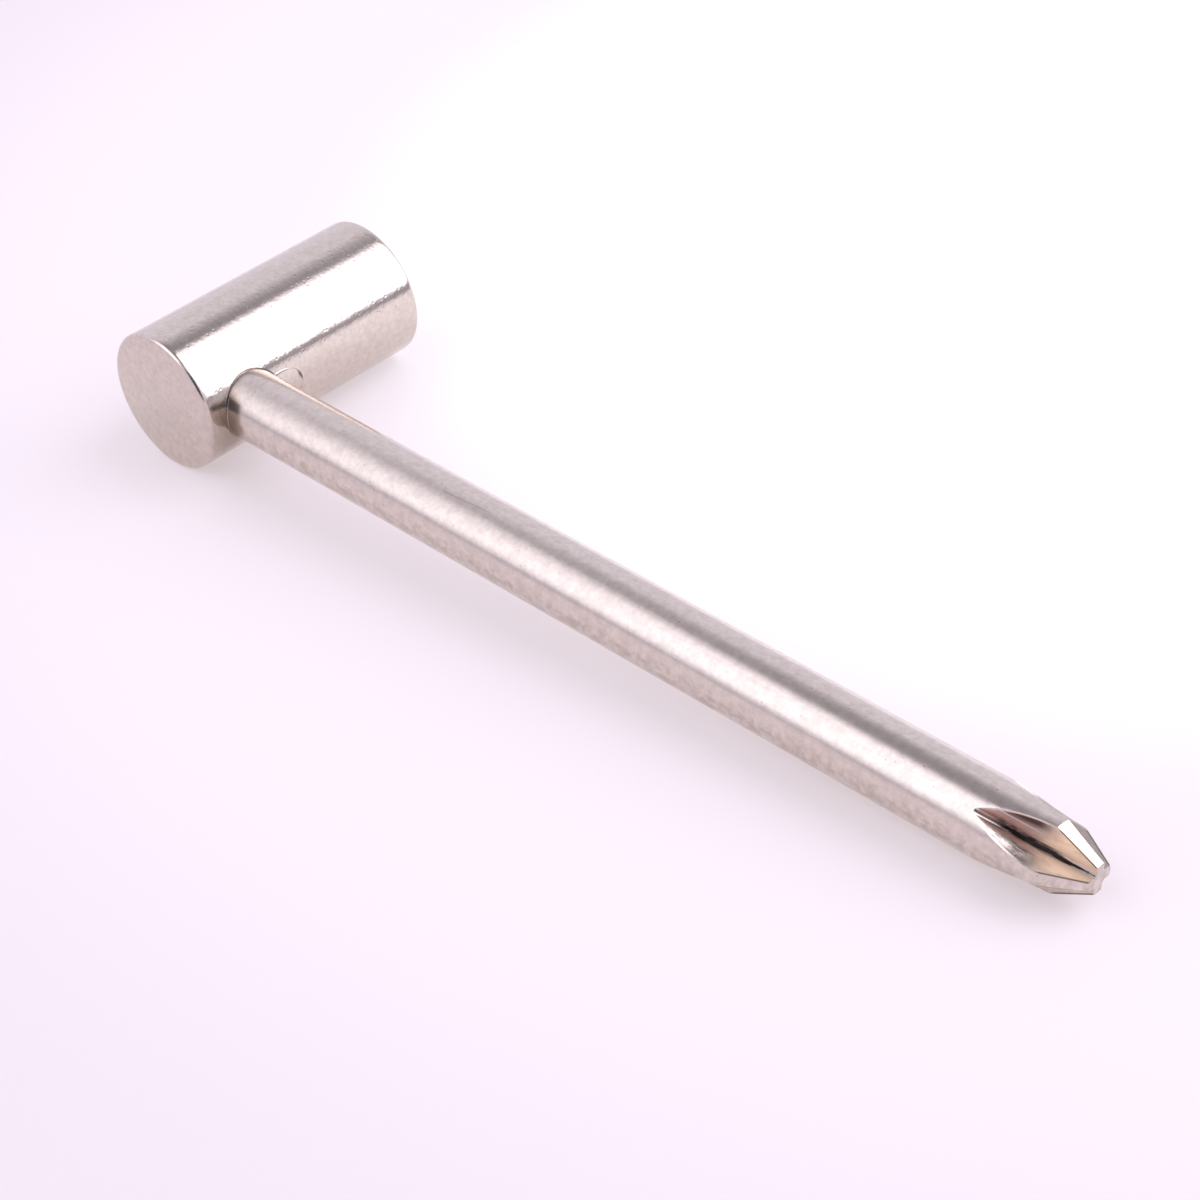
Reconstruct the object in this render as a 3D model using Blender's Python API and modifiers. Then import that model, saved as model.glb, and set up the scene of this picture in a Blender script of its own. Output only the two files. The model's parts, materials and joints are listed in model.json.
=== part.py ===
"""Truss rod wrench: a hexagon socket head brazed across the end of a cross-point driver shaft.

Lengths are in metres. The wrench is laid out around one empty: the head's axis runs along its Y, with
the socket's mouth at +Y, and the shaft's axis runs along its X, with the driver tip at +X. The empty
tips the wrench down a little, so that it lies on z = 0 on the side of its head and the shoulder of
its tip, with the middle of its footprint over the origin.
"""

import math

import bmesh
import bpy
from mathutils import Matrix, Vector

MM = 0.001

# Socket head
HEAD_DIAMETER = 12.5 * MM
HEAD_LENGTH = 23.4 * MM
HEAD_CHAMFER = 0.25 * MM
SHAFT_SETBACK = 4.75 * MM  # closed end to the shaft's axis

# Hexagon socket in the head's far end
SOCKET_SIDES = 6
SOCKET_ACROSS_FLATS = 8.1 * MM  # turns an 8 mm or 5/16 inch nut
SOCKET_DEPTH = 11.0 * MM
SOCKET_LEAD_IN = 0.15 * MM  # how far the countersink passes the hexagon's corners
PILOT_UNDERSIZE = 0.2 * MM  # the drilled hole is this much under the flats
PILOT_BEYOND_SOCKET = 1.0 * MM
DRILL_POINT = math.radians(118.0)

# Shaft
SHAFT_DIAMETER = 6.0 * MM
SHAFT_REACH = 91.0 * MM  # head's axis to the end of the tip
SEAT_PAST_AXIS = 2.5 * MM  # how far the cross hole goes past the head's axis
SEATED_END_CHAMFER = 0.4 * MM

# Cross point: a cone with four flutes, as a double-angle milling cutter leaves them
POINT_ANGLE = math.radians(58.0)
TIP_FLAT_DIAMETER = 2.45 * MM
FLUTE_COUNT = 4
FLUTE_ANGLE = math.radians(92.0)
FLUTE_ROOT_AT_TIP = 0.7 * MM  # root of the flute to the shaft's axis
FLUTE_ROOT_WIDTH = 0.3 * MM
FLUTE_ROOT_SLOPE = math.radians(5.75)
FLUTE_STRAIGHT = 4.0 * MM  # tip to where the cutter lifts out
FLUTE_CUTTER_DIAMETER = 19.0 * MM
FLUTE_CUTTER_FLANK = 5.0 * MM  # radial depth of the cutter's sloping sides
TIP_ROLL = math.radians(-3.0)  # the shaft was brazed in a little off square

# Braze
BRAZE_GAP = 0.1 * MM  # filler clearance between head, shaft and bead
SEAM_FILLET = 0.35 * MM  # radius of the filler's edge all round the shaft
BEAD_SPREAD = 2.3 * MM  # along the head, from the shaft's side
BEAD_WIDTH = 3.6 * MM  # round the head
BEAD_RISE = 0.5 * MM  # along the shaft, from the head's side

# How finely round shapes are divided
HEAD_SEGMENTS = 96
SHAFT_SEGMENTS = 72
CUTTER_SEGMENTS = 96
SEAM_POINTS = 60
BEAD_SEGMENTS = 32
BEAD_RINGS = 16
SMOOTH_UP_TO = math.radians(25.0)
OVERCUT = 1.0 * MM  # how far a cutter stands clear of the surface it enters

head_radius = HEAD_DIAMETER / 2
shaft_radius = SHAFT_DIAMETER / 2
tip_radius = TIP_FLAT_DIAMETER / 2
mouth_y = HEAD_LENGTH - SHAFT_SETBACK
socket_corner_radius = SOCKET_ACROSS_FLATS / 2 / math.cos(math.pi / SOCKET_SIDES)
countersink_radius = socket_corner_radius + SOCKET_LEAD_IN
pilot_radius = (SOCKET_ACROSS_FLATS - PILOT_UNDERSIZE) / 2
pilot_bottom = mouth_y - SOCKET_DEPTH - PILOT_BEYOND_SOCKET
shoulder_x = SHAFT_REACH - (shaft_radius - tip_radius) / math.tan(POINT_ANGLE / 2)

# The wrench lies on the head's side and on the shoulder between shaft and point
shoulder_distance = math.hypot(shoulder_x, shaft_radius)
REST_TILT = math.asin(head_radius / shoulder_distance) - math.atan2(shaft_radius, shoulder_x)

# Turning a shape that was made along Z so that it runs along X, or along Y
Z_TO_X = Matrix.Rotation(math.radians(90.0), 3, "Y")
Z_TO_Y = Matrix.Rotation(math.radians(-90.0), 3, "X")
ROLL = Matrix.Rotation(TIP_ROLL, 3, "X")
HEAD_TURN = Z_TO_Y @ Matrix.Rotation(math.pi / HEAD_SEGMENTS, 3, "Z")  # socket corners fall mid-facet


def clear_scene():
    for obj in list(bpy.data.objects):
        bpy.data.objects.remove(obj, do_unlink=True)


def new_collection(name):
    collection = bpy.data.collections.new(name)
    bpy.context.scene.collection.children.link(collection)
    return collection


def plated_steel(name, colour, roughness):
    material = bpy.data.materials.new(name)
    material.use_nodes = True
    shader = material.node_tree.nodes["Principled BSDF"]
    shader.inputs["Base Color"].default_value = (*colour, 1.0)
    shader.inputs["Roughness"].default_value = roughness
    shader.inputs["Metallic"].default_value = 1.0
    return material


def place(obj, collection, rotation=None):
    """Puts an object in its collection, on the wrench's frame."""
    collection.objects.link(obj)
    obj.parent = frame
    if rotation is not None:
        obj.rotation_euler = rotation.to_euler()
    return obj


def mesh_of(shape, name):
    mesh = bpy.data.meshes.new(name)
    shape.to_mesh(mesh)
    shape.free()
    return mesh


def turned(name, profile, segments, collection, rotation):
    """A solid of revolution about Z from (radius, height) points that run from its top to its bottom."""
    mesh = bpy.data.meshes.new(name)
    points = [(radius, 0.0, height) for radius, height in profile]
    edges = [(i, i + 1) for i in range(len(points) - 1)]
    mesh.from_pydata(points, edges, [])
    obj = place(bpy.data.objects.new(name, mesh), collection, rotation)
    screw = obj.modifiers.new("Turn", "SCREW")
    screw.axis = "Z"
    screw.steps = segments
    screw.render_steps = segments
    screw.use_merge_vertices = True
    screw.merge_threshold = 1e-6
    return obj


def as_cutter(obj):
    """Keeps an object that only cuts or joins others out of the finished wrench."""
    obj.hide_render = True
    obj.display_type = "WIRE"
    return obj


def combine(obj, cutter, operation):
    boolean = obj.modifiers.new(cutter.name, "BOOLEAN")
    boolean.operation = operation
    boolean.solver = "EXACT"
    boolean.object = cutter


def settle(obj, material):
    """Keeps the cut shape as the object's own mesh, smooth on its round faces and sharp at its edges."""
    bpy.context.view_layer.update()
    shaped = obj.evaluated_get(bpy.context.evaluated_depsgraph_get())
    mesh = bpy.data.meshes.new_from_object(shaped)
    mesh.name = obj.name
    obj.modifiers.clear()
    obj.data = mesh
    mesh.materials.clear()
    mesh.materials.append(material)
    mesh.shade_smooth()
    mesh.set_sharp_from_angle(angle=SMOOTH_UP_TO)
    return obj


def drill_point_depth(radius):
    """How far the cone of a drill's point reaches below the full depth of its hole."""
    return radius / math.tan(DRILL_POINT / 2)


def seat_drill():
    """The cutter of the blind cross hole that the shaft is seated in."""
    radius = shaft_radius + BRAZE_GAP
    profile = [
        (0.0, head_radius + OVERCUT),
        (radius, head_radius + OVERCUT),
        (radius, -SEAT_PAST_AXIS),
        (0.0, -SEAT_PAST_AXIS - drill_point_depth(radius)),
    ]
    return as_cutter(turned("seat_drill", profile, SHAFT_SEGMENTS, cutters, ROLL @ Z_TO_X))


def hexagon_broach():
    """The six-sided cutter of the socket, with a flat at its top and its bottom."""
    length = SOCKET_DEPTH + OVERCUT
    middle = Matrix.Translation((0.0, 0.0, mouth_y - SOCKET_DEPTH + length / 2))
    flats_level = Matrix.Rotation(math.pi / SOCKET_SIDES, 4, "Z")
    shape = bmesh.new()
    bmesh.ops.create_cone(
        shape,
        cap_ends=True,
        segments=SOCKET_SIDES,
        radius1=socket_corner_radius,
        radius2=socket_corner_radius,
        depth=length,
        matrix=middle @ flats_level,
    )
    broach = bpy.data.objects.new("hexagon_broach", mesh_of(shape, "hexagon_broach"))
    return as_cutter(place(broach, cutters, Z_TO_Y))


def socket_head():
    """A blank turned with its pilot hole and 45 degree countersink, then broached and cross-drilled."""
    profile = [
        (0.0, pilot_bottom - drill_point_depth(pilot_radius)),
        (pilot_radius, pilot_bottom),
        (pilot_radius, mouth_y + pilot_radius - countersink_radius),
        (countersink_radius, mouth_y),
        (head_radius - HEAD_CHAMFER, mouth_y),
        (head_radius, mouth_y - HEAD_CHAMFER),
        (head_radius, HEAD_CHAMFER - SHAFT_SETBACK),
        (head_radius - HEAD_CHAMFER, -SHAFT_SETBACK),
        (0.0, -SHAFT_SETBACK),
    ]
    head = turned("socket_head", profile, HEAD_SEGMENTS, wrench, HEAD_TURN)
    for cutter in (hexagon_broach(), seat_drill()):
        combine(head, cutter, "DIFFERENCE")
    return settle(head, head_plating)


def flute_cutter_mesh():
    """What the double-angle cutter sweeps: its disc where it lifts out, and again past the tip.

    X is the shaft's axis and Z points from it through the middle of the flute.
    """
    cutter_radius = FLUTE_CUTTER_DIAMETER / 2
    rim_half_width = FLUTE_ROOT_WIDTH / 2
    body_half_width = rim_half_width + FLUTE_CUTTER_FLANK * math.tan(FLUTE_ANGLE / 2)
    to_tip = Vector((math.cos(FLUTE_ROOT_SLOPE), 0.0, -math.sin(FLUTE_ROOT_SLOPE)))
    away_from_root = Vector((math.sin(FLUTE_ROOT_SLOPE), 0.0, math.cos(FLUTE_ROOT_SLOPE)))
    root_at_tip = Vector((SHAFT_REACH, 0.0, FLUTE_ROOT_AT_TIP))
    lift_out = root_at_tip - FLUTE_STRAIGHT * to_tip + cutter_radius * away_from_root
    past_tip = root_at_tip + cutter_radius * (to_tip + away_from_root)

    shape = bmesh.new()
    for centre in (lift_out, past_tip):
        for radius, offset in (
            (cutter_radius - FLUTE_CUTTER_FLANK, -body_half_width),
            (cutter_radius, -rim_half_width),
            (cutter_radius, rim_half_width),
            (cutter_radius - FLUTE_CUTTER_FLANK, body_half_width),
        ):
            upright = Matrix.Translation(centre + Vector((0.0, offset, 0.0))) @ Z_TO_Y.to_4x4()
            bmesh.ops.create_circle(shape, segments=CUTTER_SEGMENTS, radius=radius, matrix=upright)
    hull = bmesh.ops.convex_hull(shape, input=shape.verts)
    inside = {part for part in hull["geom_interior"] if isinstance(part, bmesh.types.BMVert)}
    bmesh.ops.delete(shape, geom=list(inside), context="VERTS")
    return mesh_of(shape, "flute_cutter")


def drive_shaft():
    seated_end = BRAZE_GAP - SEAT_PAST_AXIS
    profile = [
        (0.0, SHAFT_REACH),
        (tip_radius, SHAFT_REACH),
        (shaft_radius, shoulder_x),
        (shaft_radius, seated_end + SEATED_END_CHAMFER),
        (shaft_radius - SEATED_END_CHAMFER, seated_end),
        (0.0, seated_end),
    ]
    shaft = turned("drive_shaft", profile, SHAFT_SEGMENTS, wrench, ROLL @ Z_TO_X)
    mesh = flute_cutter_mesh()
    for number in range(FLUTE_COUNT):
        turn = (2 * number + 1) * math.pi / FLUTE_COUNT
        obj = bpy.data.objects.new(f"flute_cutter_{number + 1}", mesh)
        cutter = as_cutter(place(obj, cutters, ROLL @ Matrix.Rotation(turn, 3, "X")))
        combine(shaft, cutter, "DIFFERENCE")
    return settle(shaft, shaft_plating)


def seam_fillet():
    """A ring along the saddle-shaped seam where the shaft's side meets the head's side."""
    curve = bpy.data.curves.new("seam_line", "CURVE")
    curve.dimensions = "3D"
    curve.bevel_depth = SEAM_FILLET
    curve.bevel_resolution = 2
    line = curve.splines.new("POLY")
    line.points.add(SEAM_POINTS - 1)
    line.use_cyclic_u = True
    for number, point in enumerate(line.points):
        around = 2 * math.pi * number / SEAM_POINTS
        y = shaft_radius * math.cos(around)
        z = shaft_radius * math.sin(around)
        point.co = (math.sqrt(head_radius**2 - z**2), y, z, 1.0)
    wire = place(bpy.data.objects.new("seam_line", curve), cutters)
    bpy.context.view_layer.update()
    mesh = bpy.data.meshes.new_from_object(wire.evaluated_get(bpy.context.evaluated_depsgraph_get()))
    bpy.data.objects.remove(wire)
    return as_cutter(place(bpy.data.objects.new("seam_fillet", mesh), cutters))


def braze_bead():
    """Filler metal: a thin fillet round the shaft, and a blob in the corner on the socket's side."""
    shape = bmesh.new()
    size = Matrix.Diagonal((BEAD_RISE, BEAD_SPREAD, BEAD_WIDTH / 2, 1.0))
    bmesh.ops.create_uvsphere(
        shape,
        u_segments=BEAD_SEGMENTS,
        v_segments=BEAD_RINGS,
        radius=1.0,
        matrix=Matrix.Translation((head_radius, shaft_radius, 0.0)) @ size,
    )
    bead = place(bpy.data.objects.new("braze_bead", mesh_of(shape, "braze_bead")), wrench)
    head_side = head_radius + BRAZE_GAP
    shaft_side = shaft_radius + BRAZE_GAP
    around_head = [
        (0.0, mouth_y),
        (head_side, mouth_y),
        (head_side, -SHAFT_SETBACK),
        (0.0, -SHAFT_SETBACK),
    ]
    around_shaft = [
        (0.0, shoulder_x),
        (shaft_side, shoulder_x),
        (shaft_side, 0.0),
        (0.0, 0.0),
    ]
    head_room = turned("head_room", around_head, HEAD_SEGMENTS, cutters, HEAD_TURN)
    shaft_room = turned("shaft_room", around_shaft, SHAFT_SEGMENTS, cutters, ROLL @ Z_TO_X)
    combine(bead, seam_fillet(), "UNION")
    for cutter in (head_room, shaft_room):
        combine(bead, as_cutter(cutter), "DIFFERENCE")
    return settle(bead, bead_plating)


def lie_down(obj):
    """Tips the frame so that the wrench rests on z = 0, centred over the origin."""
    tip_end_x = SHAFT_REACH * math.cos(REST_TILT) + tip_radius * math.sin(REST_TILT)
    obj.rotation_euler = (0.0, REST_TILT, 0.0)
    obj.location = ((head_radius - tip_end_x) / 2, SHAFT_SETBACK - HEAD_LENGTH / 2, head_radius)


clear_scene()
wrench = new_collection("truss_rod_wrench")
cutters = new_collection("cutters")
frame = bpy.data.objects.new("wrench_frame", None)
wrench.objects.link(frame)
lie_down(frame)

head_plating = plated_steel("bright_nickel", (0.80, 0.77, 0.74), 0.14)
shaft_plating = plated_steel("satin_nickel", (0.74, 0.71, 0.68), 0.26)
bead_plating = plated_steel("plated_braze", (0.76, 0.72, 0.68), 0.22)

for piece in (socket_head(), drive_shaft(), braze_bead()):
    print(piece.name, len(piece.data.polygons), "faces")
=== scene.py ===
# %% [markdown]
# # Truss rod wrench
#
# The wrench is a plated steel hand tool in three pieces: a short round socket head, a straight shaft
# with a cross point, and the filler metal that brazes one to the other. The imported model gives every
# piece its size and place. This lesson models the same pieces again, finely enough for mirror
# reflections, and gives them their nickel finishes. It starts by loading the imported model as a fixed
# frame, so that nothing has to be fitted afterwards.

import json
import math

import bmesh
import bpy
from mathutils import Matrix, Vector


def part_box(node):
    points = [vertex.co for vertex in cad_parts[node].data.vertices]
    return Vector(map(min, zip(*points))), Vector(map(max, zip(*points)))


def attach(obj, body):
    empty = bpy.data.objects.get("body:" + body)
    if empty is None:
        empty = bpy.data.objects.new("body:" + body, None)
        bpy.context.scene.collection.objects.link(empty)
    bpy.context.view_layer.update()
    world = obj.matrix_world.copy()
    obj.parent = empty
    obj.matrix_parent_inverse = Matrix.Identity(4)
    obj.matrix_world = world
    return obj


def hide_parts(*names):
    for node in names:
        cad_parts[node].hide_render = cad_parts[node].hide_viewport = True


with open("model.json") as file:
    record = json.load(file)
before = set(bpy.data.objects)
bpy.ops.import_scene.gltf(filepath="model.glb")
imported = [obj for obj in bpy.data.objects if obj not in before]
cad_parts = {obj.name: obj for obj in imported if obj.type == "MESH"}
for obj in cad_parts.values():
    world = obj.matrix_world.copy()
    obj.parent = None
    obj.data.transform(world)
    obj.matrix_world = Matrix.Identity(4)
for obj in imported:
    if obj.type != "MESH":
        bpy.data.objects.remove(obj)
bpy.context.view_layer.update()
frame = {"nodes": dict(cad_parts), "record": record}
print("nodes:", ", ".join(sorted(frame["nodes"])))

# %% [markdown]
# ## Measure the wrench
#
# The frame says where the head is, how thick the shaft is and where its tip ends. Reading these values
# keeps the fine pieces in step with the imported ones. The wrench lies tipped, because its head is thicker
# than its shaft, so it is easier to model on a level bench: the origin is where the two axes cross, the
# shaft runs along X and the head along Y. One matrix then lays each finished piece down.

# %% Read the sizes
MM = 0.001

head_low, head_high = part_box("socket_head")
shaft_low, shaft_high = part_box("drive_shaft")
mounts = {mount["name"]: mount for mount in frame["record"]["mounts"]}
tip_point = Vector(mounts["driver_tip"]["pos_m"])
tip_direction = Vector(mounts["driver_tip"]["axis"]).normalized()

head_radius = round((head_high.z - head_low.z) / 2, 5)
shaft_radius = round((shaft_high.y - shaft_low.y) / 2, 4)
crossing = Vector(((head_low.x + head_high.x) / 2, tip_point.y, (head_low.z + head_high.z) / 2))
closed_end = head_low.y - crossing.y
mouth = head_high.y - crossing.y
reach = (tip_point - crossing).length
rest_tilt = math.asin(-tip_direction.z)
bench_to_floor = Matrix.Translation(crossing) @ Matrix.Rotation(rest_tilt, 4, "Y")

print(f"head {2 * head_radius / MM:.2f} mm across, {(mouth - closed_end) / MM:.2f} mm long")
print(f"shaft {2 * shaft_radius / MM:.2f} mm thick, {reach / MM:.2f} mm from the head's axis to its tip")
print(f"tipped by {math.degrees(rest_tilt):.2f} degrees")

# %% [markdown]
# ## A lathe made of operators
#
# Every piece of this wrench is round, so most of the work starts on a lathe. A Screw modifier could turn
# an outline too, but operators show each step: a plane merged to one point is extruded from corner to
# corner, its corners are rounded with a vertex bevel, and the line is spun a full turn. Operators act on
# whatever is selected, so each helper starts from a clean selection, and parts of a mesh are picked by
# where they are.

# %% Selecting and turning
ROUND_STEPS = 5
WELD = 0.001 * MM


def only(piece):
    """Makes one object the selected and active one."""
    bpy.ops.object.select_all(action="DESELECT")
    piece.select_set(True)
    bpy.context.view_layer.objects.active = piece


def pick(kind, test):
    """In edit mode, selects the vertices, edges or faces that pass a test, and counts them."""
    bpy.ops.mesh.select_mode(type=kind)
    bpy.ops.mesh.select_all(action="DESELECT")
    mesh = bpy.context.edit_object.data
    shape = bmesh.from_edit_mesh(mesh)
    choices = {"VERT": shape.verts, "EDGE": shape.edges, "FACE": shape.faces}
    found = [part for part in choices[kind] if test(part)]
    for part in found:
        part.select_set(True)
    bmesh.update_edit_mesh(mesh)
    return len(found)


def turned(name, outline, rounded, axis, sides):
    """Spins an outline of corners round an axis through the origin; rounded maps corners to radii."""
    bpy.ops.object.select_all(action="DESELECT")
    bpy.ops.mesh.primitive_plane_add(size=MM)
    piece = bpy.context.object
    piece.name = name
    bpy.ops.object.mode_set(mode="EDIT")
    bpy.ops.mesh.select_mode(type="VERT")
    bpy.ops.mesh.select_all(action="SELECT")
    bpy.ops.mesh.merge(type="CENTER")
    bpy.ops.transform.translate(value=outline[0])
    for corner, following in zip(outline, outline[1:]):
        bpy.ops.mesh.extrude_region_move(TRANSFORM_OT_translate={"value": following - corner})
    for number, radius in rounded.items():
        pick("VERT", lambda vert: (vert.co - outline[number]).length < WELD)
        bpy.ops.mesh.bevel(offset=radius, segments=ROUND_STEPS, affect="VERTICES")
    bpy.ops.mesh.select_all(action="SELECT")
    bpy.ops.mesh.spin(steps=sides, angle=2 * math.pi, center=(0, 0, 0), axis=axis)
    bpy.ops.mesh.select_all(action="SELECT")
    bpy.ops.mesh.remove_doubles(threshold=WELD)
    bpy.ops.mesh.normals_make_consistent(inside=False)
    bpy.ops.object.mode_set(mode="OBJECT")
    return piece


def measure(piece):
    """Prints a piece's face count, its volume and how many edges don't join exactly two faces."""
    shape = bmesh.new()
    shape.from_mesh(piece.data)
    loose = sum(not edge.is_manifold for edge in shape.edges)
    volume = shape.calc_volume(signed=True) / MM**3
    print(f"{piece.name}: {len(shape.faces)} faces, {volume:.2f} cubic mm, {loose} open edges")
    shape.free()


# %% [markdown]
# ## Socket head
#
# The head is bar stock turned in a lathe: faced flat at the closed end, drilled and countersunk at the
# mouth, with its outer corners broken so that they don't cut the hand. A cylinder primitive with
# bevelled rims would do for the outside, but the spun outline makes the drilled hole in the same pass
# and leaves clean rings of faces. The long sides are then divided, so that the hole for the shaft
# disturbs only the faces beside it.

# %% Turn the head
ALONG_HEAD = Vector((0, 1, 0))
HEAD_SIDES = 240
HEAD_RINGS = 78
LONG_SIDE = 5 * MM
ALONG_AXIS = 0.999
RIM_ROUND = 0.28 * MM
CLOSED_RIM_ROUND = 0.36 * MM
SOCKET_SIDES = 6
SOCKET_ACROSS_FLATS = 8.1 * MM
SOCKET_DEPTH = 11 * MM
LEAD_IN = 0.15 * MM
PILOT_UNDERSIZE = 0.2 * MM
PILOT_BEYOND_SOCKET = 1 * MM
DRILL_POINT = math.radians(118)
MOUTH_ROUND = 0.08 * MM

corner_radius = SOCKET_ACROSS_FLATS / 2 / math.cos(math.pi / SOCKET_SIDES)
countersink_radius = corner_radius + LEAD_IN
pilot_radius = (SOCKET_ACROSS_FLATS - PILOT_UNDERSIZE) / 2
pilot_bottom = mouth - SOCKET_DEPTH - PILOT_BEYOND_SOCKET


def divide_lengthwise(piece, axis, cuts):
    """Adds rings along the long straight sides of a turned piece."""
    only(piece)
    bpy.ops.object.mode_set(mode="EDIT")

    def runs_along(edge):
        run = edge.verts[1].co - edge.verts[0].co
        return run.length > LONG_SIDE and abs(run.normalized().dot(axis)) > ALONG_AXIS

    pick("EDGE", runs_along)
    bpy.ops.mesh.subdivide(number_cuts=cuts)
    bpy.ops.object.mode_set(mode="OBJECT")


head_outline = [
    Vector((0, closed_end, 0)),
    Vector((head_radius, closed_end, 0)),
    Vector((head_radius, mouth, 0)),
    Vector((countersink_radius, mouth, 0)),
    Vector((pilot_radius, mouth + pilot_radius - countersink_radius, 0)),
    Vector((pilot_radius, pilot_bottom, 0)),
    Vector((0, pilot_bottom - pilot_radius / math.tan(DRILL_POINT / 2), 0)),
]
head_rounds = {1: CLOSED_RIM_ROUND, 2: RIM_ROUND, 3: MOUTH_ROUND}
head = turned("wrench_head", head_outline, head_rounds, ALONG_HEAD, HEAD_SIDES)
divide_lengthwise(head, ALONG_HEAD, HEAD_RINGS)
measure(head)

# %% [markdown]
# ## Socket and seat
#
# The hexagon is pushed into the drilled hole with a broach, whose corners are never quite sharp. The
# broach starts as a six-sided cylinder, and its long edges are bevelled. The shaft's seat is a blind hole
# from the side, with the cone that a drill leaves at its bottom. Both are cut with a Boolean, which
# follows how the real holes are made and needs no work on the head's own faces.

# %% Broach the socket and drill the seat
ALONG_SHAFT = Vector((1, 0, 0))
OVERCUT = 1 * MM
BROACH_CORNER = 0.25 * MM
FLATS_LEVEL = math.radians(30)
SEAT_PAST_AXIS = 2.5 * MM
SEAT_CLEARANCE = 0.05 * MM
SEAT_SIDES = 120


def combine(piece, other, operation="DIFFERENCE"):
    """Cuts another shape out of a piece, or joins it on, and clears the other shape away."""
    only(piece)
    boolean = piece.modifiers.new(other.name, "BOOLEAN")
    boolean.operation = operation
    boolean.solver = "EXACT"
    boolean.object = other
    bpy.ops.object.modifier_apply(modifier=boolean.name)
    bpy.data.objects.remove(other, do_unlink=True)


broach_length = SOCKET_DEPTH + OVERCUT
bpy.ops.object.select_all(action="DESELECT")
bpy.ops.mesh.primitive_cylinder_add(
    vertices=SOCKET_SIDES,
    radius=corner_radius,
    depth=broach_length,
    location=(0, mouth - SOCKET_DEPTH + broach_length / 2, 0),
    rotation=(math.radians(90), FLATS_LEVEL, 0),
)
broach = bpy.context.object
broach.name = "broach"
bpy.ops.object.transform_apply(location=True, rotation=True, scale=True)
bpy.ops.object.mode_set(mode="EDIT")
pick("EDGE", lambda edge: edge.calc_length() > SOCKET_DEPTH)
bpy.ops.mesh.bevel(offset=BROACH_CORNER, segments=ROUND_STEPS)
bpy.ops.object.mode_set(mode="OBJECT")
combine(head, broach)

seat_radius = shaft_radius + SEAT_CLEARANCE
seat_outline = [
    Vector((head_radius + OVERCUT, 0, 0)),
    Vector((head_radius + OVERCUT, seat_radius, 0)),
    Vector((-SEAT_PAST_AXIS, seat_radius, 0)),
    Vector((-SEAT_PAST_AXIS - seat_radius / math.tan(DRILL_POINT / 2), 0, 0)),
]
combine(head, turned("seat_drill", seat_outline, {}, ALONG_SHAFT, SEAT_SIDES))
measure(head)

# %% [markdown]
# ## Shaft
#
# The shaft is drawn rod with its far end turned to a cone and a small flat. It is one outline, spun round
# the shaft's own axis. The shoulder between rod and cone keeps a crisp edge, only just broken.

# %% Turn the shaft
SHAFT_SIDES = 192
SHAFT_RINGS = 90
SEATED_CHAMFER = 0.4 * MM
SEATED_GAP = 0.1 * MM
POINT_ANGLE = math.radians(58)
TIP_FLAT = 2.45 * MM
SHOULDER_ROUND = 0.06 * MM
TIP_ROUND = 0.04 * MM

tip_radius = TIP_FLAT / 2
shoulder = reach - (shaft_radius - tip_radius) / math.tan(POINT_ANGLE / 2)
seated_end = SEATED_GAP - SEAT_PAST_AXIS

shaft_outline = [
    Vector((reach, 0, 0)),
    Vector((reach, tip_radius, 0)),
    Vector((shoulder, shaft_radius, 0)),
    Vector((seated_end + SEATED_CHAMFER, shaft_radius, 0)),
    Vector((seated_end, shaft_radius - SEATED_CHAMFER, 0)),
    Vector((seated_end, 0, 0)),
]
shaft_rounds = {1: TIP_ROUND, 2: SHOULDER_ROUND}
shaft = turned("wrench_shaft", shaft_outline, shaft_rounds, ALONG_SHAFT, SHAFT_SIDES)
divide_lengthwise(shaft, ALONG_SHAFT, SHAFT_RINGS)
measure(shaft)

# %% [markdown]
# ## Flutes of the cross point
#
# The four flutes are milled with a double-angle cutter: a wheel with a narrow rim and sloping sides that
# lifts out of the shaft in an arc. The space it sweeps is modelled first. A plane is shaped to the
# wheel's section, with a rounded rim, extruded straight out past the tip, and spun backwards about the
# wheel's axle for the run-out. Spinning gives long clean faces, which a mirror finish needs.

# %% Model what the wheel sweeps
FLUTE_ANGLE = math.radians(92)
FLUTE_ROOT_AT_TIP = 0.7 * MM
FLUTE_ROOT_WIDTH = 0.3 * MM
FLUTE_ROOT_SLOPE = math.radians(5.75)
FLUTE_STRAIGHT = 4 * MM
PAST_TIP = 3 * MM
WHEEL_RADIUS = 9.5 * MM
WHEEL_FLANK = 5 * MM
RUN_OUT = math.radians(60)
RUN_OUT_STEPS = 48
ROOT_ROUND = 0.12 * MM
ROOT_STEPS = 4

rim_half_width = FLUTE_ROOT_WIDTH / 2
body_half_width = rim_half_width + WHEEL_FLANK * math.tan(FLUTE_ANGLE / 2)
to_tip = Vector((math.cos(FLUTE_ROOT_SLOPE), 0, -math.sin(FLUTE_ROOT_SLOPE)))
off_root = Vector((math.sin(FLUTE_ROOT_SLOPE), 0, math.cos(FLUTE_ROOT_SLOPE)))
lift_out = Vector((reach, 0, FLUTE_ROOT_AT_TIP)) - FLUTE_STRAIGHT * to_tip
axle = lift_out + WHEEL_RADIUS * off_root

bpy.ops.object.select_all(action="DESELECT")
bpy.ops.mesh.primitive_plane_add(size=MM)
sweep = bpy.context.object
sweep.name = "flute_sweep"
for vert in sweep.data.vertices:
    at_rim = vert.co.y < 0
    half_width = rim_half_width if at_rim else body_half_width
    across = Vector((0, math.copysign(half_width, vert.co.x), 0))
    vert.co = lift_out + across + off_root * (0 if at_rim else WHEEL_FLANK)

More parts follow.
